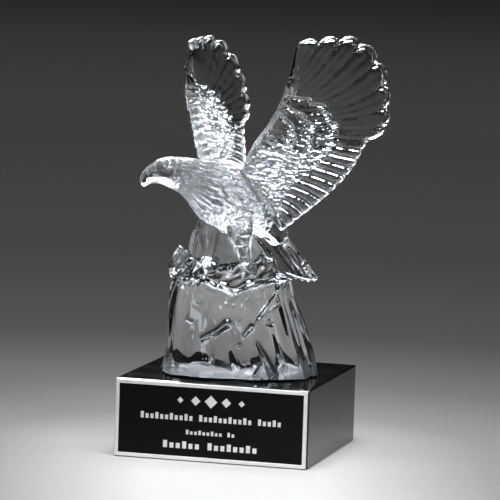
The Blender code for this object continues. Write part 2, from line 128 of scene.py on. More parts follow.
# Wing, counted in feathers from the leading edge. Its sheet is drawn from the
# side, as back and up: the arm, a middle curve that bends the feathers, and
# the feather ends of the hand and of the forearm, which meet within a short count.
HAND_FEATHERS = 8
ARM_FEATHERS = 12
FEATHERS = HAND_FEATHERS + ARM_FEATHERS
HAND_TO_ARM = 0.15
WING_ARM = ((0, -1.0, 66.4), (3, -2.5, 57.0), (6, -4.0, 48.4), (9, -6.2, 37.8),
            (12, -9.0, 25.3), (14.5, -9.0, 12.0), (17, -4.0, 0.5), (20, 7.0, -13.5))
WING_BEND = ((0, -1.0, 76.0), (3, 11.5, 47.3), (6, 21.5, 36.5), (9, 26.0, 28.2),
             (13, 23.0, 13.5), (17, 18.0, -0.3), (20, 14.4, -12.0))
HAND_ENDS = ((0, 0.0, 86.5), (2, 23.5, 88.8), (3, 36.0, 87.0), (4, 49.0, 77.0),
             (5, 56.3, 63.5), (6, 59.2, 50.2), (7, 59.8, 39.3), (8, 55.0, 32.5))
ARM_ENDS = ((8, 50.6, 31.0), (11, 46.1, 14.8), (14, 38.5, 0.6), (17, 29.6, -12.1), (20, 22.7, -22.6))

# How far out the sheet lies: it rises from the line between shoulder and
# rump, flattens towards the feather ends and bulges along the arm.
SHOULDER = np.array((-12.0, 28.0))
SPREAD_DIRECTION = np.array((0.817, 0.577))
ROOT_OUT = 14.0
SPREAD_SLOPE = 0.95
SPREAD_CUP = 0.0045
SPREAD_LEAST = -6.0
ARM_BULGE = 7.0

# Share of their full length at which the hand and forearm feathers are held, and
# the feather counts between which one turns into the other
LEFT_REACH = (1.0, 1.0)
RIGHT_REACH = (0.74, 0.93)
REACH_TURN = (1, 6)

# Step for the wing's slope, its half thickness, and how it thins along the
# feathers and at its edges
WING_STEP = 0.02
WRIST_HALF = 2.9
SHOULDER_HALF = 5.6
SHOULDER_COUNT = 13
FEATHER_HALF = 1.5
ARM_TAPER = 1.6
ARM_TAPER_POWER = 1.5
EDGE_SHARE = 0.06
EDGE_COUNT = 0.6
EDGE_LEAST = 0.25

# Feather ends, and the ridges, shafts and hollowed vanes of the long feathers
HAND_SCALLOP = 3.4
ARM_SCALLOP = 1.8
SCALLOP_MIDDLE = 0.7
SCALLOP_BEGIN = 0.6
HAND_RIDGE = 0.14
ARM_RIDGE = 0.6
RIDGE_WIDTH = 0.45
RIDGE_LEAST = 0.45
RIDGE_KNOTS = 0.75
RIDGE_KNOTS_ACROSS = 1.7
RIDGE_KNOTS_ALONG = 11
HAND_RIDGES_END = (0.5, 1.5)
SHAFT_SHARE = 0.5
BOWL_DEPTH = 0.5
VANE_WIDTH = 3.2
VANE_SPREAD = 4.0
HAND_VANE_SPREAD = 4.5
VANES_BEGIN = (0.95, 1.04)
RIM_LIFT = 0.6
RIM_PLACE = (0.965, 0.985)

# Small feathers that cover a share of the long ones: at the leading edge, then
# how much is added between two feather counts
COVERT_ROOT = 0.08
COVERT_STEPS = ((0.32, 2.5, 3.3), (0.14, 3.6, 4.8), (0.12, 5.0, 9.0), (-0.16, 9.5, 15.0))

# Their rows as a share of that cover and how far each lags behind, how many
# ends a row has to one long feather, and how uneven the ends are
COVERT_ROWS = ((0.46, 4.0), (0.72, 2.0), (1.0, 0.0))
COVERT_COUNTS = (1.3, 1.15, 1.0)
COVERTS_BEGIN = (0.8, 2.6)
COVERT_LIFT = 0.7
COVERT_STEP_WIDTH = 0.012
COVERT_RIM = 1.1
COVERT_RIM_WIDTH = 0.011
COVERT_SCALLOP = 0.75
COVERT_WAVER = (0.18, 2.3, 2.1)
COVERT_UNEVEN = (0.03, 3.7)

# Dense scales on each wing from a feather count on, and the knots that end them
SCALES_FROM = {1: 8.5, -1: 3.5}
SCALES_SOFT = 2.5
SCALES_END = (0.7, 0.95)
SCALE_LIFT = 1.3
SCALE_ACROSS = 1.6
SCALE_ALONG = 15.0
KNOT_SHARE = 0.7
KNOT_PLACE = 0.9
KNOT_WIDTH = 0.25
KNOT_LEAD = 2.0

# Eyes, placed on the skin of the head by share of the body and angle, each with
# a groove around it, and the girth and length that make these into millimetres
EYE_SHARE = 0.665
EYE_ANGLE = math.radians(39.0)
EYE_HALF = 1.9
EYE_RING = 2.6
EYE_GROOVE = 1.9
EYE_GROOVE_WIDTH = 0.6
EYE_GIRTH = 9.0
BODY_LENGTH = 105.0

# Tail: forward, left, up of its root and end, then its half sizes and twist, and
# the thinning, ridges and rounded ends of its feathers
TAIL_ROOT = np.array((-24.0, 0.0, -21.0))
TAIL_END = np.array((-53.0, 0.0, -52.5))
TAIL_FEATHERS = 5
TAIL_ROOT_HALF_WIDTH = 6.5
TAIL_END_HALF_WIDTH = 11.0
TAIL_SKEW = 5.0
TAIL_ROOT_HALF = 4.5
TAIL_END_HALF = 1.7
TAIL_TWIST = math.radians(12.0)
TAIL_THINNING = 0.55
TAIL_RIDGE = 0.6
TAIL_SCALLOP = 1.6
TAIL_ROUNDING = 2.5
TAIL_TIP_BEGIN = 0.6

# Rock, turned on the block. Each level holds its height, then how far it
# reaches to the left, right, front and back.
ROCK_TURN = math.radians(14.6)
ROCK_LEVELS = (
    (0.0, 43.0, 44.5, 38.5, 36.0),
    (9.0, 41.0, 42.0, 38.3, 36.0),
    (20.0, 39.8, 38.0, 37.4, 35.3),
    (33.0, 39.0, 33.2, 35.0, 33.0),
    (43.0, 38.2, 29.0, 32.0, 30.0),
    (51.0, 36.2, 27.0, 30.0, 27.5),
    (54.5, 34.0, 25.5, 27.0, 25.5),
    (56.0, 30.5, 20.5, 15.0, 19.5),
    (57.5, 29.3, 18.5, 11.5, 17.5),
    (63.0, 28.8, 17.5, 10.0, 16.5),
    (70.0, 28.0, 13.5, 8.0, 15.0),
    (78.0, 26.0, 6.0, 6.0, 13.0),
    (86.0, 23.0, -4.0, 3.0, 9.0),
)
ROCK_SIDES = 640
ROCK_CUTS = 230
ROCK_CORNER = 3.0
FLANK = (0.45, 0.75)
FRONT = (0.5, 0.8)

# Waves around the rock: broad flutes as count, depth, start and lean, finer runs
# on its flanks and upright smears in front and behind
FLUTES = ((5, 0.9, 0.9, 0.004), (11, 1.1, 2.2, -0.002), (18, 0.7, 0.2, 0.002))
FRONT_FLUTES = 0.5
RUN_LIFT = 0.9
RUN_COUNT = 34
RUN_SWAY = 2
RUN_SWAY_RISE = 15
RUN_SWELLS = 9
RUN_SWELL_RISE = 21
SMEAR_LIFT = 0.7
SMEAR_COUNT = 5
SMEAR_RISE = 34.0
SMEAR_SWAY = 0.3
SMEAR_SWAY_RISE = 14

# Ledge: the V it dips to in front, and the wrinkled band above it
LEDGE_HEIGHT = 51.0
LEDGE_DIP = 7.0
LEDGE_DIP_TURN = 0.42
LEDGE_DIP_RISE = 9.0
LEDGE_WRINKLE = 1.4
WRINKLES_ABOVE = 4.0
WRINKLES_RISE = 4.0
WRINKLE_COUNT = 9
WRINKLE_SIZE = 3.0

# Lumps on the ledge: right, back and up of the centre, then the half sizes, and
# by what share their skin swells and dents
LUMPS = (
    ((-35.0, -2.0, 60.0), (6.0, 8.5, 10.5)),
    ((-27.0, -8.0, 57.5), (7.5, 5.5, 7.0)),
    ((12.5, -11.0, 58.0), (8.0, 7.0, 10.5)),
    ((-4.0, -15.0, 55.0), (13.5, 8.5, 7.0)),
)
LUMP_SWELL = 0.12
LUMP_DENT = 0.06

# Feet: right, back and up of the ankle, and the hip in the eagle's frame, then
# the sizes of legs and toes, how far a toe drops and where its claw thins
ANKLES = ((-18.5, -12.5, 65.0), (2.5, -16.5, 63.5))
HIPS = ((13.0, -8.0, -14.0), (6.0, 9.0, -16.0))
THIGH_HALF = 8.0
ANKLE_HALF = 3.4
TOE_LENGTH = 11.0
TOE_HALF = 2.3
TOE_DROP = 7.5
CLAW_BEGIN = 0.55
CLAW_THINNING = 0.75
TOE_TURNS = (-48.0, -4.0, 40.0, 175.0)

# Grooves in the rock's front: right and up of both ends, then the half widths
# at the ends. A pit is a groove with nearly no length.
GROOVES = (
    (-20.7, 22.6, -12.0, 27.4, 1.4, 2.1),
    (-12.0, 27.4, -7.2, 31.0, 2.1, 3.2),
    (2.8, 25.3, 6.8, 29.8, 1.2, 2.2),
    (-30.0, 32.0, -26.8, 31.0, 0.8, 1.0),
    (14.4, 31.6, 18.8, 31.4, 0.6, 0.9),
    (14.4, 31.6, 17.0, 35.4, 0.6, 0.4),
    (-3.2, 31.0, -1.9, 26.6, 0.7, 0.4),
    (0.0, 31.6, 0.6, 33.4, 0.7, 0.7),
    (0.3, 19.8, 0.5, 19.8, 1.1, 1.1),
    (-15.5, 11.7, -14.2, 12.9, 0.7, 0.7),
    (10.2, 21.4, 14.6, 13.5, 0.9, 2.2),
    (14.6, 13.5, 20.0, 3.0, 2.2, 3.2),
    (14.0, 10.5, 9.8, 3.0, 0.8, 1.3),
)
GROOVE_DEPTH = 1.7

# Bright drops under the ledge: right, up, half width and half height
DROPS = (
    (-7.9, 41.8, 1.1, 1.6),
    (-3.8, 41.2, 1.2, 1.7),
    (0.9, 40.6, 1.3, 1.7),
    (4.4, 46.5, 1.6, 3.0),
    (8.4, 44.6, 1.6, 4.2),
    (-22.5, 43.5, 3.0, 3.0),
)
DROP_LIFT = 0.9

# Raised facet beside the ledge, tapering to its foot: how high it stands, and
# the ridge along its edges
WEDGE_OUTLINE = ((7.6, 32.6), (23.4, 42.0), (20.6, 50.0))
WEDGE_LIFT = 3.4
WEDGE_SLOPE = (-0.1, 1.0)
WEDGE_RIDGE = 0.7
WEDGE_RIDGE_PLACE = 1.1
WEDGE_RIDGE_WIDTH = 0.55


def linear(code):
    """A colour in linear light from its sRGB hex code."""
    values = [int(code[index:index + 2], 16) / 255 for index in (1, 3, 5)]
    return [value / 12.92 if value <= 0.04045 else ((value + 0.055) / 1.055) ** 2.4 for value in values]


def add_node(tree, kind, links=None, **settings):
    """Add a node, set its inputs or properties by name, and link its inputs from outputs."""
    node = tree.nodes.new(kind)
    for name, value in settings.items():
        if hasattr(node, name):
            setattr(node, name, value)
        else:
            node.inputs[name.replace("_", " ")].default_value = value
    for name, output in (links or {}).items():
        tree.links.new(output, node.inputs[name])
    return node


def new_material(name):
    material = bpy.data.materials.new(name)
    material.use_nodes = True
    tree = material.node_tree
    return material, tree, tree.nodes["Principled BSDF"]


def two_tones(tree, shader, pattern, low, high, span=(0.0, 1.0)):
    """Run the base colour from one sRGB tone to another over a span of a pattern."""
    ramp = add_node(tree, "ShaderNodeValToRGB", {"Fac": pattern.outputs["Fac"]})
    for stop, place, code in zip(ramp.color_ramp.elements, span, (low, high)):
        stop.position = place
        stop.color = (*linear(code), 1)
    tree.links.new(ramp.outputs["Color"], shader.inputs["Base Color"])


def make_object(name, bm):
    bmesh.ops.recalc_face_normals(bm, faces=bm.faces)
    mesh = bpy.data.meshes.new(name)
    bm.to_mesh(mesh)
    bm.free()
    item = bpy.data.objects.new(name, mesh)
    bpy.context.scene.collection.objects.link(item)
    return item


def move_points(bm, form):
    """Move every point of bm to form(x, y, z), which works on whole columns."""
    columns = np.array([vert.co for vert in bm.verts]).T
    for vert, point in zip(bm.verts, form(*columns)):
        vert.co = point


def apply_modifiers(item):
    result = item.evaluated_get(bpy.context.evaluated_depsgraph_get())
    mesh = bpy.data.meshes.new_from_object(result)
    item.modifiers.clear()
    item.data = mesh


def cut_out(base, cutter):
    """Cut the cutter's shape out of base; the cutter is used up."""
    modifier = base.modifiers.new("cut", "BOOLEAN")
    modifier.operation = "DIFFERENCE"
    modifier.solver = "MANIFOLD"
    modifier.object = cutter
    apply_modifiers(base)
    bpy.data.objects.remove(cutter, do_unlink=True)


def fuse(name, items):
    """Melt overlapping closed shapes into one smooth skin, then thin its triangles."""
    bm = bmesh.new()
    for item in items:
        bm.from_mesh(item.data)
        bpy.data.objects.remove(item, do_unlink=True)
    fused = make_object(name, bm)
    remesh = fused.modifiers.new("melt", "REMESH")
    remesh.mode = "VOXEL"
    remesh.voxel_size = GLASS_GRAIN
    polish = fused.modifiers.new("polish", "SMOOTH")
    polish.iterations = GLASS_SMOOTHING
    polish.factor = GLASS_SMOOTHING_SHARE
    apply_modifiers(fused)
    thin = fused.modifiers.new("thin", "DECIMATE")
    thin.ratio = min(GLASS_TRIANGLES / (2 * len(fused.data.polygons)), 1.0)
    apply_modifiers(fused)
    return fused


def curve_at(stations, place):
    """Columns of a smooth curve through stations, each a place and its values."""
    table = np.array(stations, float)
    places = table[:, 0]
    values = table[:, 1:]
    gaps = np.diff(places)[:, None]
    slopes = np.empty_like(values)
    slopes[0] = (values[1] - values[0]) / gaps[0]
    slopes[-1] = (values[-1] - values[-2]) / gaps[-1]
    slopes[1:-1] = (values[2:] - values[:-2]) / (gaps[1:] + gaps[:-1])
    place = np.asarray(place, float)
    index = np.clip(np.searchsorted(places, place, side="right") - 1, 0, len(places) - 2)
    step = gaps[index]
    t = ((place - places[index]) / step[..., 0])[..., None]
    curve = (values[index] * (1 + 2 * t) * (1 - t) ** 2 + values[index + 1] * t * t * (3 - 2 * t)
             + step * (slopes[index] * t * (1 - t) ** 2 - slopes[index + 1] * t * t * (1 - t)))
    return np.moveaxis(curve, -1, 0)


def smooth_step(low, high, value):
    t = np.clip((value - low) / (high - low), 0.0, 1.0)
    return t * t * (3 - 2 * t)


def columns_to_points(x, y, z):
    return np.stack(np.broadcast_arrays(x, y, z), axis=-1)


def eagle_point(forward, left, up):
    return CHEST + np.multiply.outer(forward, FORWARD) + np.multiply.outer(left, LEFT) \
        + np.multiply.outer(up, UP)


def rock_point(right, back, up):
    cosine = math.cos(ROCK_TURN)
    sine = math.sin(ROCK_TURN)
    return columns_to_points(right * cosine - back * sine, right * sine + back * cosine, up)


def tube(name, sides, cuts, place):
    """A closed tube whose points are place(angle, share of its length)."""
    bm = bmesh.new()
    bmesh.ops.create_cone(bm, cap_ends=True, segments=sides, radius1=1, radius2=1, depth=1)
    uprights = [edge for edge in bm.edges if abs(edge.verts[0].co.z - edge.verts[1].co.z) > 0.5]
    bmesh.ops.subdivide_edges(bm, edges=uprights, cuts=cuts)
    move_points(bm, lambda x, y, z: place(np.arctan2(y, x), z + 0.5))
    return make_object(name, bm)


def slab(name, columns, rows, place):
    """A closed sheet whose points are place(column share, row share, side)."""
    bm = bmesh.new()
    bmesh.ops.create_grid(bm, x_segments=columns, y_segments=rows, size=0.5)
    lifted = bmesh.ops.extrude_face_region(bm, geom=list(bm.faces), use_keep_orig=True)
    lifted_verts = [item for item in lifted["geom"] if isinstance(item, bmesh.types.BMVert)]
    bmesh.ops.translate(bm, verts=lifted_verts, vec=(0, 0, 1))
    move_points(bm, lambda x, y, z: place(x + 0.5, y + 0.5, np.where(z > 0.5, 1.0, -1.0)))
    return make_object(name, bm)


def lobe(phase):
    """Outline of one feather end, a half round."""
    return 2.0 * np.sqrt(np.maximum(phase * (1.0 - phase), 0.0))


def scatter(column, row, turn):
    """A fixed, random-looking share from 0 to 1 for each cell of a pattern."""
    by_column, by_row, by_turn = SCATTER_TURNS
    value = np.sin(column * by_column + row * by_row + turn * by_turn) * SCATTER_SCALE
    return value - np.floor(value)


def hollows(across, along, around=1e6):
    """Irregular carved hollows: 0 in their middles, 1 on the ridges between them."""
    nearest = math.inf
    for shift in (-1, 0, 1):
        for climb in (-1, 0, 1):
            column = np.floor(across) + shift
            row = np.floor(along) + climb
            seed = np.mod(column, around)
            away = across - column - HOLLOW_MARGIN - HOLLOW_STRAY * scatter(seed, row, 0)
            up = along - row - HOLLOW_MARGIN - HOLLOW_STRAY * scatter(seed, row, 1)
            nearest = np.minimum(nearest, np.hypot(away, up))
    return smooth_step(*HOLLOW_SLOPE, nearest)


def body_frame(share):
    """Middle, sideways and upright half axes of the body at a share of its length."""
    stations = [(index, *station) for index, station in enumerate(BODY)]
    last = len(BODY) - 1
    place = share * last
    forward, left, up, half_height, half_width, lean = curve_at(stations, place)
    ahead = curve_at(stations, np.minimum(place + BODY_STEP, last))
    behind = curve_at(stations, np.maximum(place - BODY_STEP, 0))
    course_x = ahead[0] - behind[0]
    course_y = ahead[1] - behind[1]
    length = np.hypot(course_x, course_y)
    course_x = course_x / length
    course_y = course_y / length
    lean = np.radians(lean)
    return ((forward, left, up), (-course_y * half_width, course_x * half_width),
            (-course_x * np.sin(lean) * half_height, -course_y * np.sin(lean) * half_height,
             np.cos(lean) * half_height))


def body_point(angle, share):
    """Skin of the body, share 0 at the tail and 1 at the beak."""
    middle, side, top = body_frame(share)
    girth = np.minimum(np.hypot(*side), GIRTH_MOST)
    away = (1 - share) * BODY_LENGTH
    feathers = smooth_step(*BODY_SCALES_BEGIN, share) * (1 - smooth_step(*BODY_SCALES_END, share))
    size = BODY_SCALE + (NECK_SCALE - BODY_SCALE) * smooth_step(*NECK_PLACE, share)
    relief = hollows(angle / math.pi * SCALES_AROUND / 2, away / size, SCALES_AROUND) - 0.5
    head = smooth_step(*HEAD_BEGIN, share) * (1 - smooth_step(*BEAK_BEGIN, share))
    fine = hollows(angle / math.pi * HEAD_SCALES_AROUND / 2, away / HEAD_SCALE, HEAD_SCALES_AROUND) - 0.5
    lifts = feathers * BODY_SCALE_LIFT * relief + head * STIPPLE_LIFT * fine
    for eye in (EYE_ANGLE, math.pi - EYE_ANGLE):
        reach = np.hypot((angle - eye) * EYE_GIRTH, (share - EYE_SHARE) * BODY_LENGTH)
        lifts = lifts - EYE_GROOVE * np.exp(-((reach - EYE_RING) / EYE_GROOVE_WIDTH) ** 2)
    swell = 1 + lifts / np.maximum(girth, GIRTH_LEAST)
    cosine = np.cos(angle) * swell
    sine = np.sin(angle) * swell
    return eagle_point(middle[0] + side[0] * cosine + top[0] * sine,
                       middle[1] + side[1] * cosine + top[1] * sine,
                       middle[2] + top[2] * sine)


def feather_phase(place):
    return np.where(place < FEATHERS, np.mod(place, 1.0), 1.0)


def wing_sheet(place, share, reach):
    """Middle of the wing at a feather count and a share of the feather's length."""
    arm = curve_at(WING_ARM, place)
    bend = curve_at(WING_BEND, place)
    hand_end = curve_at(HAND_ENDS, np.minimum(place, HAND_FEATHERS))
    arm_end = curve_at(ARM_ENDS, np.maximum(place, HAND_FEATHERS))
    on_arm = smooth_step(HAND_FEATHERS - HAND_TO_ARM, HAND_FEATHERS + HAND_TO_ARM, place)
    tip = hand_end + (arm_end - hand_end) * on_arm
    hand_reach, arm_reach = reach
    held = hand_reach + (arm_reach - hand_reach) * smooth_step(*REACH_TURN, place)
    bend = arm + (bend - arm) * (0.5 + 0.5 * held)
    tip = arm + (tip - arm) * held
    scallop = np.where(place < HAND_FEATHERS, HAND_SCALLOP, ARM_SCALLOP)
    overshoot = scallop * (lobe(feather_phase(place)) - SCALLOP_MIDDLE) / np.hypot(*(tip - arm))
    share = share * (1 + overshoot * smooth_step(SCALLOP_BEGIN, 1.0, share))
    flat = arm * (1 - share) ** 2 + bend * 2 * share * (1 - share) + tip * share ** 2
    away = (flat[0] - SHOULDER[0]) * SPREAD_DIRECTION[0] + (flat[1] - SHOULDER[1]) * SPREAD_DIRECTION[1]
    away = np.maximum(away, SPREAD_LEAST)
    out = ROOT_OUT + SPREAD_SLOPE * away - SPREAD_CUP * away ** 2
    out = out + ARM_BULGE * np.maximum(1 - share, 0.0) ** 2
    return columns_to_points(-flat[0], out, flat[1])


def covert_edge(place):
    """Share of the feather's length that the small feathers cover."""
    cover = COVERT_ROOT
    for added, low, high in COVERT_STEPS:
        cover = cover + added * smooth_step(low, high, place)
    return cover


def vane_relief(place, share):
    """Ridges along the edges and the shaft of the long feathers, in millimetres."""
    before, after = HAND_RIDGES_END
    hand = 1 - smooth_step(HAND_FEATHERS - before, HAND_FEATHERS + after, place)
    feather_width = VANE_WIDTH + (VANE_SPREAD + HAND_VANE_SPREAD * hand) * share
    edge = 0.5 - np.abs(feather_phase(place) - 0.5)
    width = RIDGE_WIDTH / feather_width
    height = ARM_RIDGE + (HAND_RIDGE - ARM_RIDGE) * hand
    knots = RIDGE_LEAST + RIDGE_KNOTS * hollows(place * RIDGE_KNOTS_ACROSS, share * RIDGE_KNOTS_ALONG)
    ridges = height * knots * np.exp(-(edge / width) ** 2)
    shaft = SHAFT_SHARE * height * hand * np.exp(-((edge - 0.5) / width) ** 2)
    bowl = BOWL_DEPTH * (1 - hand) * np.sin(math.pi * np.clip(2 * edge, 0, 1) / 2)
    return ridges + shaft - bowl


def wing_half(place, share, scales_from):
    """Half of the wing's thickness, with its carving; its fine scales start at a feather count."""
    arm_half = WRIST_HALF + (SHOULDER_HALF - WRIST_HALF) * smooth_step(0, SHOULDER_COUNT, place)
    taper = np.maximum(1 - ARM_TAPER * share, 0.0) ** ARM_TAPER_POWER
    half = FEATHER_HALF + (arm_half - FEATHER_HALF) * taper
    cover = covert_edge(place)
    inner = smooth_step(*COVERTS_BEGIN, place)
    waver, waver_turn, waver_shift = COVERT_WAVER
    uneven, uneven_turn = COVERT_UNEVEN
    below = 0.0
    for index, (row, behind) in enumerate(COVERT_ROWS):
        shift = waver * np.sin(waver_turn * place + waver_shift * index)
        ends = lobe(np.mod(place * COVERT_COUNTS[index] + shift, 1.0))
        row_cover = covert_edge(place - behind) * row
        notch = COVERT_SCALLOP * 0.5 * (1 - ends)
        end = row_cover * (1 - notch + uneven * np.sin(uneven_turn * place + index))
        lift = COVERT_LIFT * smooth_step(below, end, share) * inner
        half = half + lift * (1 - smooth_step(end, end + COVERT_STEP_WIDTH, share))
        half = half + COVERT_RIM * inner * np.exp(-((share - end) / COVERT_RIM_WIDTH) ** 2)
        below = row_cover
    past = place - scales_from
    fade = 1 - smooth_step(*SCALES_END, share / cover)
    dense = SCALE_LIFT * fade * smooth_step(0.0, SCALES_SOFT, past)
    knots = KNOT_SHARE * SCALE_LIFT * np.exp(-((share / cover - KNOT_PLACE) / KNOT_WIDTH) ** 2) \
        * smooth_step(-KNOT_LEAD, 0.0, past)
    half = half + (hollows(place * SCALE_ACROSS, share * SCALE_ALONG) - 0.5) * np.maximum(dense, knots)
    vanes_low, vanes_high = VANES_BEGIN
    outer = smooth_step(cover * vanes_low, cover * vanes_high, share)
    half = half + vane_relief(place, share) * outer
    half = half + RIM_LIFT * smooth_step(*RIM_PLACE, share)
    edge = np.minimum(np.minimum(share / EDGE_SHARE, place / EDGE_COUNT), 1.0)
    return half * (EDGE_LEAST + (1 - EDGE_LEAST) * np.sqrt(1 - (1 - edge) ** 2))


def wing_point(place, share, side, reach, hand):
    """Skin of a wing; hand is 1 for the left wing and -1 for the right."""
    low = np.clip(place - WING_STEP, 0, FEATHERS - 2 * WING_STEP)
    along = wing_sheet(low + 2 * WING_STEP, share, reach) - wing_sheet(low, share, reach)
    near = np.maximum(share - WING_STEP, 0.0)
    outward = wing_sheet(place, near + 2 * WING_STEP, reach) - wing_sheet(place, near, reach)
    normal = np.cross(along, outward)
    normal /= np.linalg.norm(normal, axis=-1, keepdims=True)
    half = wing_half(place, share, SCALES_FROM[hand])
    point = wing_sheet(place, share, reach) + normal * (side * half)[..., None]
    return eagle_point(point[..., 0], point[..., 1] * hand, point[..., 2])


def make_wing(name, reach, hand):
    return slab(name, WING_COLUMNS, WING_ROWS,
                lambda column, row, side: wing_point(column * FEATHERS, row, side, reach, hand))


def tail_point(across, share, side):
    """Skin of the tail; across runs from -1 to 1."""
    half_width = TAIL_ROOT_HALF_WIDTH + (TAIL_END_HALF_WIDTH - TAIL_ROOT_HALF_WIDTH) * share
    half = TAIL_ROOT_HALF + (TAIL_END_HALF - TAIL_ROOT_HALF) * share
    phase = (across + 1) / 2 * TAIL_FEATHERS
    crest = np.abs(np.sin(math.pi * phase))
    half = half * (1 - TAIL_THINNING * np.abs(across) ** 3)
    half = half + TAIL_RIDGE * (crest - 0.5) * share
    course = TAIL_END - TAIL_ROOT
    course = course / np.linalg.norm(course)
    sideways = np.array((0.0, math.cos(TAIL_TWIST), math.sin(TAIL_TWIST)))
    normal = np.cross(sideways, course)
    ends = TAIL_SCALLOP * crest - TAIL_ROUNDING * across ** 2 + TAIL_SKEW * across
    along = np.linalg.norm(TAIL_END - TAIL_ROOT) * share + ends * smooth_step(TAIL_TIP_BEGIN, 1.0, share)
    point = TAIL_ROOT + np.multiply.outer(along, course) \
        + np.multiply.outer(across * half_width, sideways) + np.multiply.outer(side * half, normal)
    return eagle_point(*np.moveaxis(point, -1, 0))


def make_tail(name):
    return slab(name, TAIL_COLUMNS, TAIL_ROWS,
                lambda column, row, side: tail_point(2 * column - 1, row, side))


def rock_skin(angle, height):
    """Skin of the rock at an angle, counted from its right side, and a height."""
    left, right, front, back = curve_at(ROCK_LEVELS, height)
    cosine = np.cos(angle)
    sine = np.sin(angle)
    half_width = (right + left) / 2
    half_depth = (back + front) / 2
    rounding = (np.abs(cosine) ** ROCK_CORNER + np.abs(sine) ** ROCK_CORNER) ** (-1 / ROCK_CORNER)
    flute = sum(depth * np.cos(count * angle + start + lean * count * height)
                for count, depth, start, lean in FLUTES)
    flute = flute * (FRONT_FLUTES + (1 - FRONT_FLUTES) * cosine ** 2)
    flank = smooth_step(*FLANK, np.abs(cosine))
    swell = 0.5 + 0.5 * np.sin(RUN_SWELLS * angle + height / RUN_SWELL_RISE)
    run = np.cos(RUN_COUNT * angle + RUN_SWAY * np.sin(height / RUN_SWAY_RISE))
    flute = flute + RUN_LIFT * run * swell * flank
    sway = SMEAR_SWAY * np.sin(height / SMEAR_SWAY_RISE)
    smear = hollows(angle * SMEAR_COUNT + sway, height / SMEAR_RISE)
    flute = flute + SMEAR_LIFT * smear * (1 - flank)
    rounding = rounding * (1 + flute / half_width)
    facing = np.exp(-((angle + math.pi / 2) / LEDGE_DIP_TURN) ** 2)
    dip = LEDGE_DIP * facing * np.exp(-((height - LEDGE_HEIGHT) / LEDGE_DIP_RISE) ** 2)
    band = np.exp(-((height - LEDGE_HEIGHT - WRINKLES_ABOVE) / WRINKLES_RISE) ** 2)
    wrinkle = LEDGE_WRINKLE * band * (hollows(angle * WRINKLE_COUNT, height / WRINKLE_SIZE) - 0.5)
    rounding = rounding * (1 + wrinkle / half_width)
    across = (right - left) / 2 + half_width * rounding * cosine
    carving = front_carving(across, height - dip) * smooth_step(*FRONT, -sine)
    return rock_point(across, (back - front) / 2 + half_depth * rounding * sine - carving, height - dip)


def front_carving(right, height):
    """How far the carving lifts the rock's front at a place to the right and up."""
    lift = np.zeros(np.broadcast(right, height).shape)
    for start_right, start_up, end_right, end_up, start_half, end_half in GROOVES:
        run = np.array((end_right - start_right, end_up - start_up))
        share = ((right - start_right) * run[0] + (height - start_up) * run[1]) / (run @ run)
        share = np.clip(share, 0.0, 1.0)
        reach = np.hypot(right - start_right - run[0] * share, height - start_up - run[1] * share)
        half = start_half + (end_half - start_half) * share
        lift = np.minimum(lift, -GROOVE_DEPTH * np.maximum(half - reach, 0.0))
    for drop_right, drop_up, half_width, half_height in DROPS:
        reach = np.hypot((right - drop_right) / half_width, (height - drop_up) / half_height)
        lift = lift + DROP_LIFT * np.maximum(1 - reach ** 2, 0.0)
    inside = math.inf
    for index, (corner_right, corner_up) in enumerate(WEDGE_OUTLINE):
        next_right, next_up = WEDGE_OUTLINE[(index + 1) % len(WEDGE_OUTLINE)]
        side = math.hypot(next_right - corner_right, next_up - corner_up)
        inside = np.minimum(inside, ((next_right - corner_right) * (height - corner_up)
                                     - (next_up - corner_up) * (right - corner_right)) / side)
    ridge = WEDGE_RIDGE * np.exp(-((inside - WEDGE_RIDGE_PLACE) / WEDGE_RIDGE_WIDTH) ** 2)
    return lift + WEDGE_LIFT * smooth_step(*WEDGE_SLOPE, inside) + ridge


def make_rock(name):
    top = ROCK_LEVELS[-1][0]
    return tube(name, ROCK_SIDES, ROCK_CUTS, lambda angle, share: rock_skin(angle, share * top))


def make_eye(name, angle):
    bm = bmesh.new()
    bmesh.ops.create_icosphere(bm, subdivisions=4, radius=EYE_HALF)
    bmesh.ops.translate(bm, verts=bm.verts, vec=body_point(angle, EYE_SHARE))
    return make_object(name, bm)


def make_lump(name, centre, halves):
    """An uneven lump of ice with its centre and half sizes in the rock's frame."""
    bm = bmesh.new()
    bmesh.ops.create_icosphere(bm, subdivisions=5, radius=1)

    def place(x, y, z):
        swell = 1 + LUMP_SWELL * np.sin(5 * x + 3 * z) * np.cos(4 * y) \
            + LUMP_DENT * np.sin(9 * z - 7 * x)
        return rock_point(centre[0] + halves[0] * x * swell, centre[1] + halves[1] * y * swell,
                          centre[2] + halves[2] * z * swell)

    move_points(bm, place)
    return make_object(name, bm)


def make_leg(name, hip, ankle):
    """A leg that thins from the feathered thigh at the hip to the ankle."""
    start = eagle_point(*hip)
    end = rock_point(*ankle)
    course = (end - start) / np.linalg.norm(end - start)
    side = np.cross(course, (0, 1, 0))
    side = side / np.linalg.norm(side)
    other = np.cross(course, side)

    def place(angle, share):
        half = THIGH_HALF + (ANKLE_HALF - THIGH_HALF) * smooth_step(0, 1, share)
        return start + np.multiply.outer(share, end - start) \
            + np.multiply.outer(np.cos(angle) * half, side) \
            + np.multiply.outer(np.sin(angle) * half, other)

    return tube(name, LEG_SIDES, LEG_CUTS, place)


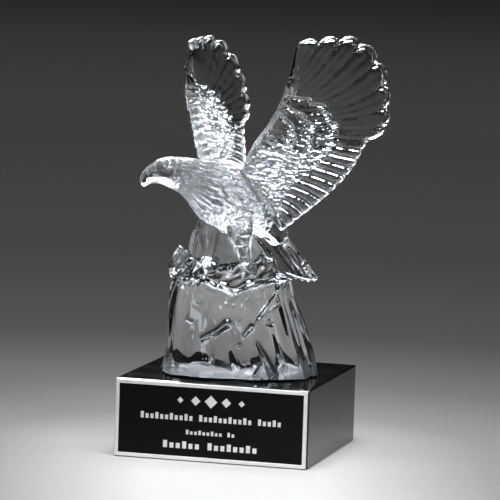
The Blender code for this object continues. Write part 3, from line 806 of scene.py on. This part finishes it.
def make_toe(name, ankle, turn):
    """A toe that arches forward and down from the ankle and ends in a claw."""
    start = rock_point(*ankle)
    heading = HEADING + math.radians(turn)
    course = np.array((math.cos(heading), math.sin(heading), 0))
    side = np.cross(UP, course)

    def place(angle, share):
        half = TOE_HALF * (1 - CLAW_THINNING * smooth_step(CLAW_BEGIN, 1.0, share))
        return start + np.multiply.outer(TOE_LENGTH * share, course) \
            + np.multiply.outer(np.sin(angle) * half - TOE_DROP * share ** 2, UP) \
            + np.multiply.outer(np.cos(angle) * half, side)

    return tube(name, TOE_SIDES, TOE_CUTS, place)


# Cast crystal. The fine carving is full near a point between chest and head and
# gone farther off, in metres, sooner up and down than sideways. Then the size
# and depth of its stipple and of the ripples that fire polishing leaves.
CARVED_MIDDLE = (30.0, -3.0, 10.0)
CARVED_NEAR = 0.06
CARVED_FAR = 0.08
CARVED_FLATNESS = 1.8
CARVED_ROUGHNESS = 0.08
STIPPLE_SIZE = 1.3 * MM
STIPPLE_DEPTH = 0.32 * MM
RIPPLE_SIZE = 11.0 * MM
RIPPLE_DEPTH = 0.35 * MM


def cast_crystal():
    """Clear cast crystal, fire polished: faint ripples bend what is seen through the smooth rock,
    and a fine stipple left on the carved body breaks the light into a pale, frosty sparkle."""
    material, tree, shader = new_material("clear_cast_crystal")
    shader.inputs["Base Color"].default_value = (*linear("#fafdff"), 1)
    shader.inputs["Transmission Weight"].default_value = 1.0
    shader.inputs["IOR"].default_value = 1.52
    place = add_node(tree, "ShaderNodeTexCoord")
    middle = Vector(eagle_point(*CARVED_MIDDLE) * MM) + Vector((0, 0, glass_low.z))
    flatten = Vector((1.0, 1.0, CARVED_FLATNESS))
    flat = add_node(tree, "ShaderNodeVectorMath", {0: place.outputs["Object"]}, operation="MULTIPLY")
    flat.inputs[1].default_value = flatten
    away = add_node(tree, "ShaderNodeVectorMath", {0: flat.outputs["Vector"]}, operation="DISTANCE")
    away.inputs[1].default_value = middle * flatten
    carved = add_node(tree, "ShaderNodeMapRange", {"Value": away.outputs["Value"]},
                      From_Min=CARVED_NEAR, From_Max=CARVED_FAR, To_Min=1.0, To_Max=0.0)
    stipple = add_node(tree, "ShaderNodeTexNoise", {"Vector": place.outputs["Object"]},
                       Scale=1 / STIPPLE_SIZE, Detail=2.0)
    ripple = add_node(tree, "ShaderNodeTexNoise", {"Vector": place.outputs["Object"]},
                      Scale=1 / RIPPLE_SIZE, Detail=1.0)
    polished = add_node(tree, "ShaderNodeBump", {"Height": ripple.outputs["Fac"]},
                        Strength=1.0, Distance=RIPPLE_DEPTH)
    frosted = add_node(tree, "ShaderNodeBump", {"Height": stipple.outputs["Fac"],
                                                "Strength": carved.outputs["Result"],
                                                "Normal": polished.outputs["Normal"]},
                       Distance=STIPPLE_DEPTH)
    tree.links.new(frosted.outputs["Normal"], shader.inputs["Normal"])
    haze = add_node(tree, "ShaderNodeMath", {0: carved.outputs["Result"]}, operation="MULTIPLY")
    haze.inputs[1].default_value = CARVED_ROUGHNESS
    tree.links.new(haze.outputs["Value"], shader.inputs["Roughness"])
    return material


# Painted shade: the glass's foot is coloured black, standing in for the dark line
# of shade where the rock meets the block: how far it creeps up the rock's foot,
# and the size of the noise that varies its black
FOOT_SHADE_RISE = 0.9 * MM
FOOT_SHADE_BLOTCH = 4.0 * MM


def foot_painted_shade():
    """Painted shade: satin black painted on the foot and underside of the glass, a little greyer in
    random patches, so that the foot of the clear rock ends in a soft dark line of shade and its
    underside mirrors the glass only dimly."""
    material, tree, shader = new_material("black_painted_foot_shade")
    shader.inputs["Roughness"].default_value = 0.36
    shader.inputs["Specular IOR Level"].default_value = 0.06
    place = add_node(tree, "ShaderNodeTexCoord")
    smear = add_node(tree, "ShaderNodeTexNoise", {"Vector": place.outputs["Object"]},
                     Scale=1 / FOOT_SHADE_BLOTCH, Detail=2.0)
    two_tones(tree, shader, smear, "#020202", "#16181a")
    return material


def make_casting():
    """Eagle and rock, one piece of clear glass."""
    shapes = [
        make_rock("rock"),
        tube("body", BODY_SIDES, BODY_CUTS, body_point),
        make_wing("left_wing", LEFT_REACH, 1),
        make_wing("right_wing", RIGHT_REACH, -1),
        make_tail("tail"),
        make_eye("left_eye", EYE_ANGLE),
        make_eye("right_eye", math.pi - EYE_ANGLE),
    ]
    for index, (centre, halves) in enumerate(LUMPS):
        shapes.append(make_lump(f"lump_{index}", centre, halves))
    for hip, ankle in zip(HIPS, ANKLES):
        shapes.append(make_leg("leg", hip, ankle))
        for turn in TOE_TURNS:
            shapes.append(make_toe("toe", ankle, turn))
    casting = fuse("eagle_and_rock", shapes)
    seat = Matrix.Translation((0, 0, glass_low.z))
    casting.data.transform(seat @ Matrix.Scale(MM, 4))
    casting.data.shade_smooth()
    casting.data.materials.append(cast_crystal())
    casting.data.materials.append(foot_painted_shade())
    # Painted shade: the faces at the glass's foot take the black material that stands in for the shade
    # there.
    for polygon in casting.data.polygons:
        if polygon.center.z < glass_low.z + FOOT_SHADE_RISE:
            polygon.material_index = 1
    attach(casting, "root")
    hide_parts("crystal_eagle")


# Lacquer: the faint waviness of a sprayed and buffed coat, and the wipe marks on
# it, the span of their pattern that shows and the roughness at its ends
PEEL_SIZE = 6.0 * MM
PEEL_DEPTH = 0.012 * MM
WIPE_SIZE = 25.0 * MM
WIPE_SPAN = (0.35, 0.7)
WIPE_ROUGHNESS = (0.05, 0.16)


def black_lacquer():
    """Black piano lacquer, sprayed and buffed: a deep black with sharp reflections that waver
    a little, and wipe marks that dull them in patches."""
    material, tree, shader = new_material("black_piano_lacquer")
    shader.inputs["IOR"].default_value = 1.5
    shader.inputs["Coat Weight"].default_value = 0.1
    shader.inputs["Specular IOR Level"].default_value = 0.3
    shader.inputs["Coat Roughness"].default_value = 0.03
    place = add_node(tree, "ShaderNodeTexCoord")
    wipes = add_node(tree, "ShaderNodeTexNoise", {"Vector": place.outputs["Object"]},
                     Scale=1 / WIPE_SIZE, Detail=4.0, Distortion=0.6)
    gloss = add_node(tree, "ShaderNodeMapRange", {"Value": wipes.outputs["Fac"]},
                     From_Min=WIPE_SPAN[0], From_Max=WIPE_SPAN[1],
                     To_Min=WIPE_ROUGHNESS[0], To_Max=WIPE_ROUGHNESS[1])
    tree.links.new(gloss.outputs["Result"], shader.inputs["Roughness"])
    two_tones(tree, shader, wipes, "#040405", "#0b0b0c", WIPE_SPAN)
    peel = add_node(tree, "ShaderNodeTexNoise", {"Vector": place.outputs["Object"]},
                    Scale=1 / PEEL_SIZE, Detail=1.0)
    waves = add_node(tree, "ShaderNodeBump", {"Height": peel.outputs["Fac"]}, Distance=PEEL_DEPTH)
    tree.links.new(waves.outputs["Normal"], shader.inputs["Normal"])
    return material


def make_plinth():
    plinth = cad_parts["plinth"]
    plinth.data.materials.clear()
    plinth.data.materials.append(black_lacquer())


# Brushing on the plate runs along its length. Real scratches are some 0.05 mm
# apart, drawn here at 0.3 mm so that they show.
BRUSH_PITCH = 0.3 * MM
BRUSH_LENGTH = 9.0 * MM

# Tones, roughness and depth of scratches of the black coat and of the bare metal
COATED = (("#010101", "#070708"), (0.24, 0.38), 0.004 * MM)
BARE = (("#e6e6e4", "#fbfbfa"), (0.34, 0.5), 0.01 * MM)


def brush(tree, shader, tones, roughness, depth):
    """Vary tone and gloss and scratch the face by noise drawn out along the plate's length."""
    place = add_node(tree, "ShaderNodeTexCoord")
    stretch = add_node(tree, "ShaderNodeMapping", {"Vector": place.outputs["Object"]},
                       Scale=(1 / BRUSH_LENGTH, 1 / BRUSH_PITCH, 1 / BRUSH_PITCH))
    grain = add_node(tree, "ShaderNodeTexNoise", {"Vector": stretch.outputs["Vector"]},
                     Scale=1.0, Detail=2.0)
    two_tones(tree, shader, grain, *tones)
    satin = add_node(tree, "ShaderNodeMapRange", {"Value": grain.outputs["Fac"]},
                     To_Min=roughness[0], To_Max=roughness[1])
    tree.links.new(satin.outputs["Result"], shader.inputs["Roughness"])
    scratches = add_node(tree, "ShaderNodeBump", {"Height": grain.outputs["Fac"]}, Distance=depth)
    tree.links.new(scratches.outputs["Normal"], shader.inputs["Normal"])


def black_plate():
    """Brushed aluminium under a satin black coat: even black, with a soft highlight drawn out
    by the brushing beneath."""
    material, tree, shader = new_material("black_coated_aluminium")
    shader.inputs["IOR"].default_value = 1.45
    shader.inputs["Specular IOR Level"].default_value = 0.15
    brush(tree, shader, *COATED)
    return material


def bare_aluminium():
    """Bare satin aluminium where the coat is cut away: bright, softly brushed silver."""
    material, tree, shader = new_material("satin_aluminium")
    shader.inputs["Metallic"].default_value = 1.0
    brush(tree, shader, *BARE)
    return material


# Plate: silver border, then the strokes, bare metal at their floor, their rows as
# level, half width and stroke height in shares of the plate and how many strokes
# each group of a row has, and the row of lozenges above them
BORDER = 2.1 * MM
BORDER_STEP = 0.08 * MM
PLATE_EDGE = 0.35 * MM
STROKE_DEPTH = 0.25 * MM
STROKE_FLOOR = 0.9
STROKE_SHARE = 0.66
SHORT_STROKE = 0.72
TALL_STROKE_EVERY = 3
ROWS = (
    (0.56, 0.37, 0.085, (11, 11, 5)),
    (0.37, 0.13, 0.06, (9, 2)),
    (0.20, 0.25, 0.095, (6, 8)),
)
ORNAMENT_LEVEL = 0.78
ORNAMENT_HALF = 0.2
ORNAMENT_TALL = 0.17
ORNAMENT_COUNT = 5
ORNAMENT_SHRINK = 0.5


def box_at(bm, size, centre):
    made = bmesh.ops.create_cube(bm, size=1)
    bmesh.ops.scale(bm, vec=size, verts=made["verts"])
    bmesh.ops.translate(bm, verts=made["verts"], vec=centre)
    return made["verts"]


def make_strokes(size, centre, front):
    """Cutters for the rows of strokes and the row of lozenges above them."""
    bm = bmesh.new()
    for level, half, tall, groups in ROWS:
        slots = sum(groups) + len(groups) - 1
        pitch = 2 * half * size.x / slots
        slot = 0
        for group in groups:
            for index in range(group):
                height = tall * size.z * (1.0 if index % TALL_STROKE_EVERY == 0 else SHORT_STROKE)
                place = Vector((centre.x + (slot + 0.5 - slots / 2) * pitch, front,
                                plate_low.z + level * size.z - (tall * size.z - height) / 2))
                box_at(bm, (pitch * STROKE_SHARE, 2 * STROKE_DEPTH, height), place)
                slot += 1
            slot += 1
    pitch = 2 * ORNAMENT_HALF * size.x / ORNAMENT_COUNT
    for index in range(ORNAMENT_COUNT):
        swell = 1 - ORNAMENT_SHRINK * abs(index - ORNAMENT_COUNT // 2) / (ORNAMENT_COUNT // 2)
        side = ORNAMENT_TALL * size.z * swell / math.sqrt(2)
        verts = box_at(bm, (side, 2 * STROKE_DEPTH, side), (0, 0, 0))
        bmesh.ops.rotate(bm, verts=verts, matrix=Matrix.Rotation(math.radians(45), 3, "Y"))
        place = (centre.x + (index + 0.5 - ORNAMENT_COUNT / 2) * pitch, front,
                 plate_low.z + ORNAMENT_LEVEL * size.z)
        bmesh.ops.translate(bm, verts=verts, vec=place)
    return make_object("strokes", bm)


def make_nameplate():
    """The plate: a silver border, a black field, and strokes cut through the black."""
    size = plate_high - plate_low
    centre = (plate_high + plate_low) / 2
    bm = bmesh.new()
    box_at(bm, size, centre)
    bmesh.ops.bevel(bm, geom=list(bm.edges), offset=PLATE_EDGE, segments=4, profile=0.5,
                    affect="EDGES", material=-1)
    face = min(bm.faces, key=lambda item: item.calc_center_median().y)
    for item in bm.faces:
        item.material_index = 1
    bmesh.ops.inset_region(bm, faces=[face], thickness=BORDER - PLATE_EDGE, use_even_offset=True)
    bmesh.ops.inset_region(bm, faces=[face], thickness=BORDER_STEP, depth=-BORDER_STEP,
                           use_even_offset=True)
    face.material_index = 0
    plate = make_object("award_plate", bm)
    for material in (black_plate(), bare_aluminium()):
        plate.data.materials.append(material)
    front = plate_low.y + BORDER_STEP
    cut_out(plate, make_strokes(size, centre, front))
    for polygon in plate.data.polygons:
        if polygon.center.y > front + STROKE_DEPTH * STROKE_FLOOR:
            polygon.material_index = 1
    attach(plate, "root")
    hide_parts("nameplate")


# Camera, at the photograph's viewing angle
AZIMUTH = math.radians(14.629)
ELEVATION = math.radians(6.445)
ROLL = math.radians(1.827)
DISTANCE = 2.2225
TARGET = Vector((0.00476, 0.0, 0.1142))
FOCAL_PIXELS = 3910.6
FRAME_PIXELS = 500
SENSOR = 36.0
CLIP_END = 50.0


def make_camera():
    data = bpy.data.cameras.new("camera")
    data.sensor_width = SENSOR
    data.lens = FOCAL_PIXELS / FRAME_PIXELS * SENSOR
    camera = bpy.data.objects.new("camera", data)
    bpy.context.scene.collection.objects.link(camera)
    back = Vector((math.sin(AZIMUTH) * math.cos(ELEVATION), -math.cos(AZIMUTH) * math.cos(ELEVATION),
                   math.sin(ELEVATION)))
    camera.location = TARGET + back * DISTANCE
    level = (-back).to_track_quat("-Z", "Y").to_matrix()
    camera.rotation_euler = (level @ Matrix.Rotation(ROLL, 3, "Z")).to_euler()
    data.clip_end = CLIP_END
    bpy.context.scene.camera = camera


# Middle of the award, where the softboxes aim, and each softbox: azimuth and
# elevation in degrees, distance, width and height in metres, power, whether it
# lights the paper and whether it shows in gloss
AIM = Vector((0, 0, 0.12))
SOFTBOXES = (
    ("front_top_softbox", 0, 75, 1.5, 0.8, 0.8, 22, True, True),
    ("key_softbox", 60, 50, 1.6, 0.5, 0.5, 5, True, True),
    ("room_light", 0, 90, 3.0, 3.0, 3.0, 23, True, False),
    ("back_right_softbox", 150, 42, 1.5, 0.6, 0.6, 66, False, True),
    ("back_left_softbox", -150, 42, 1.5, 0.6, 0.6, 48, False, True),
    ("front_fill", -16, 10, 2.0, 1.0, 0.4, 6, False, True),
    ("back_softbox", 180, 27, 1.6, 1.1, 0.3, 12, False, True),
    ("left_softbox", -95, 32, 1.5, 0.5, 0.5, 8, False, True),
    ("low_right_softbox", 75, 8, 1.5, 0.4, 0.8, 3, False, True),
    ("top_softbox", 180, 66, 1.3, 1.3, 0.8, 7, False, True),
)


def add_softbox(name, azimuth, elevation, distance, width, height, power, paper, gloss):
    """A softbox that faces the award. One kept off the paper is a little bluer, as daylight is."""
    data = bpy.data.lights.new(name, "AREA")
    data.shape = "RECTANGLE"
    data.size = width
    data.size_y = height
    data.energy = power
    data.color = (1, 1, 1) if paper else linear("#f2f7ff")
    light = bpy.data.objects.new(name, data)
    light.visible_camera = False
    light.visible_diffuse = paper
    light.visible_glossy = gloss
    light.visible_transmission = gloss
    bpy.context.scene.collection.objects.link(light)
    a = math.radians(azimuth)
    e = math.radians(elevation)
    back = Vector((math.sin(a) * math.cos(e), -math.cos(a) * math.cos(e), math.sin(e)))
    light.location = AIM + back * distance
    light.rotation_euler = (-back).to_track_quat("-Z", "Y").to_euler()


# The room's own faint light
ROOM_TONE = "#38393b"
ROOM_STRENGTH = 0.35

# Painted light and shade on the paper: its tone as distance from the award's axis in metres and grey,
# pale under the award as a painted pool of light, darker behind as painted shade and lighter again
# far off to make up for the lamps' falloff; and how much shorter distances count in front, where the
# paper stays pale
PAINTED_LIGHT_TONES = ((0.05, "#e0e0e0"), (0.144, "#9e9e9e"), (0.27, "#7e7e7e"), (0.5, "#5c5c5c"),
               (1.0, "#5a5a5a"), (2.0, "#747474"), (4.0, "#b0b0b0"))
SWEEP_RADIUS = 6.0
SWEEP_SIDES = 96
SWEEP_FRONT = 0.12

# Painted shade: beyond these shares of the distance from the camera the paper falls into painted shade
# on both sides, out of the camera's view, and this is the share of its tone that it falls to.
SIDE_NEAR = 0.085
SIDE_FAR = 0.4
SIDE_PAINTED_SHADE = 0.2


def paper_with_painted_light():
    """Seamless paper with painted light and shade: a painted pool of light under the award and in front
    of it, falling off to painted dark grey shade far behind and at its sides, so that the glass stands
    out bright."""
    material, tree, shader = new_material("seamless_paper_painted_light")
    shader.inputs["Roughness"].default_value = 1.0
    shader.inputs["Specular IOR Level"].default_value = 0.0
    place = add_node(tree, "ShaderNodeTexCoord")
    turned = add_node(tree, "ShaderNodeMapping", {"Vector": place.outputs["Object"]})
    turned.inputs["Rotation"].default_value = (0, 0, -AZIMUTH)
    axes = add_node(tree, "ShaderNodeSeparateXYZ", {"Vector": turned.outputs["Vector"]})
    ahead = add_node(tree, "ShaderNodeMath", {0: axes.outputs["Y"]}, operation="MULTIPLY")
    ahead.inputs[1].default_value = SWEEP_FRONT
    depth = add_node(tree, "ShaderNodeMath", {0: axes.outputs["Y"], 1: ahead.outputs["Value"]},
                     operation="MAXIMUM")
    spot = add_node(tree, "ShaderNodeCombineXYZ", {"X": axes.outputs["X"], "Y": depth.outputs["Value"]})
    distance = add_node(tree, "ShaderNodeVectorMath", {0: spot.outputs["Vector"]}, operation="LENGTH")
    share = add_node(tree, "ShaderNodeMath", {0: distance.outputs["Value"]}, operation="DIVIDE")
    share.inputs[1].default_value = SWEEP_RADIUS
    root = add_node(tree, "ShaderNodeMath", {0: share.outputs["Value"]}, operation="SQRT")
    # Painted light and shade: this ramp sets the paper's tone by distance from the award.
    ramp = add_node(tree, "ShaderNodeValToRGB", {"Fac": root.outputs["Value"]})
    stops = ramp.color_ramp.elements
    while len(stops) < len(PAINTED_LIGHT_TONES):
        stops.new(0.5)
    for stop, (reach, tone) in zip(stops, PAINTED_LIGHT_TONES):
        stop.position = math.sqrt(reach / SWEEP_RADIUS)
        stop.color = (*linear(tone), 1)
    aside = add_node(tree, "ShaderNodeMath", {0: axes.outputs["X"]}, operation="ABSOLUTE")
    behind = add_node(tree, "ShaderNodeMath", {0: axes.outputs["Y"]}, operation="MAXIMUM")
    behind.inputs[1].default_value = 0.0
    off = add_node(tree, "ShaderNodeMath", {0: behind.outputs["Value"]}, operation="ADD")
    off.inputs[1].default_value = DISTANCE
    angle = add_node(tree, "ShaderNodeMath", {0: aside.outputs["Value"], 1: off.outputs["Value"]},
                     operation="DIVIDE")
    # Painted shade: the paper's tone falls off towards both sides.
    dark = add_node(tree, "ShaderNodeMapRange", {"Value": angle.outputs["Value"]},
                    From_Min=SIDE_NEAR, From_Max=SIDE_FAR, To_Min=1.0, To_Max=SIDE_PAINTED_SHADE)
    tone = add_node(tree, "ShaderNodeVectorMath", {0: ramp.outputs["Color"], 1: dark.outputs["Result"]},
                    operation="MULTIPLY")
    tree.links.new(tone.outputs["Vector"], shader.inputs["Base Color"])
    return material


def make_stage():
    bm = bmesh.new()
    bmesh.ops.create_circle(bm, cap_ends=True, segments=SWEEP_SIDES, radius=SWEEP_RADIUS)
    floor = make_object("floor", bm)
    floor.data.materials.append(paper_with_painted_light())

    world = bpy.data.worlds.new("studio")
    world.use_nodes = True
    background = world.node_tree.nodes["Background"]
    background.inputs["Color"].default_value = (*linear(ROOM_TONE), 1)
    background.inputs["Strength"].default_value = ROOM_STRENGTH
    bpy.context.scene.world = world

    for softbox in SOFTBOXES:
        add_softbox(*softbox)


make_camera()
make_stage()
make_casting()
make_plinth()
make_nameplate()

scene = bpy.context.scene
scene.view_settings.view_transform = "Standard"
